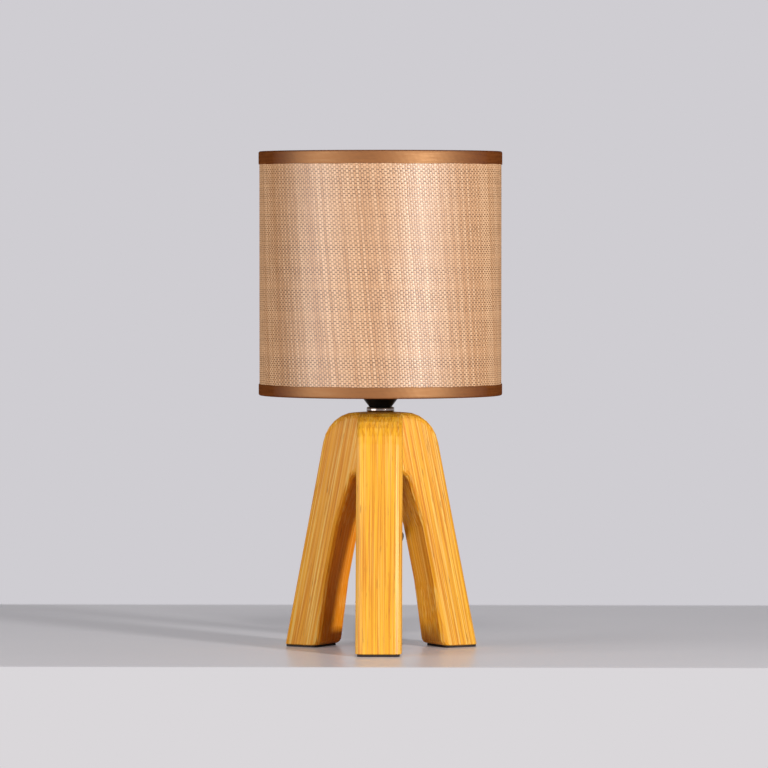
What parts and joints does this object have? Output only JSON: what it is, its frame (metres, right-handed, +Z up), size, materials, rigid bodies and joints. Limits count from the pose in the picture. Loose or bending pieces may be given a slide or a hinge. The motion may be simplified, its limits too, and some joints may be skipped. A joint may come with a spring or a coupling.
{
  "type": "tripod table lamp",
  "caption": "Small table lamp: wooden tripod base, drum shade in linen with bound edges, small screw lampholder, lead with in-line rocker switch and plug.",
  "frame": {"origin": "on the floor under the axis of the tube and the shade, 73 mm behind the front foot's pad for the whole box, at the box's centre once the put-away lead is left out", "axes": "+Z up the lamp's axis, the front leg towards -Y, the put-away lead towards +Y, +X to the right seen from the front"},
  "size_m": [0.14, 0.3002, 0.2862],
  "materials": {
    "varnished_wood": "satin varnish",
    "dowel_wood": "raw",
    "pad_rubber": "matt",
    "plated_steel": "zinc or nickel plated",
    "chrome": "polished",
    "brass": "bright",
    "black_plastic": "satin",
    "gloss_black": "glossy",
    "insert_plastic": "matt",
    "core_black": "satin",
    "core_white": "satin",
    "white_wire": "satin",
    "liner_sheet": "translucent, matt",
    "linen": "coarse plain weave",
    "binding_tape": "satin weave",
    "lead_jacket": "satin"
  },
  "bodies": {
    "lamp": {"leg_front": "varnished_wood", "leg_left": "varnished_wood", "leg_right": "varnished_wood", "foot_pad_front": "pad_rubber", "foot_pad_left": "pad_rubber", "foot_pad_right": "pad_rubber", "hub_dowels": "dowel_wood", "threaded_tube": "plated_steel", "hub_washer": "plated_steel", "hub_nut": "brass", "collar": "chrome", "tube_bush": "black_plastic", "holder_cap": "black_plastic", "holder_skirt": "black_plastic", "holder_insert": "insert_plastic", "screw_shell": "brass", "centre_contact": "brass", "terminal_screws": "plated_steel", "grub_screw": "plated_steel", "wire_live": "core_black", "wire_neutral": "core_white", "lead_inside": "lead_jacket", "lead_drop": "lead_jacket", "lead_bridge": "lead_jacket", "lead_hank": "lead_jacket", "lead_tail": "lead_jacket", "hank_tie": "black_plastic", "switch_base": "black_plastic", "switch_cover": "black_plastic", "switch_contacts": "brass", "switch_screws": "plated_steel", "switch_sleeves": "lead_jacket", "plug_body": "lead_jacket", "plug_blades": "plated_steel"},
    "shade": {"shade_carrier": "white_wire", "shade_top_ring": "white_wire", "shade_liner": "liner_sheet", "shade_cover": "linen", "tape_top": "binding_tape", "tape_bottom": "binding_tape"},
    "clamp_ring": {"shade_clamp": "black_plastic"},
    "rocker": {"switch_rocker": "gloss_black"}
  },
  "joints": [
    {"name": "shade_turn", "type": "hinge", "parent": "lamp", "child": "shade", "pos_m": [0, 0, 0.1602], "axis": [0, 0, 1], "continuous": true},
    {"name": "clamp_ring_turn", "type": "hinge", "parent": "lamp", "child": "clamp_ring", "pos_m": [0, 0, 0.1647], "axis": [0, 0, 1], "range_deg": [0, 1080]},
    {"name": "switch_rocker_tip", "type": "hinge", "parent": "lamp", "child": "rocker", "pos_m": [-0.00399, 0.12594, 0.0316], "axis": [0.9998, 0.0209, 0], "range_deg": [0, 16]}
  ]
}
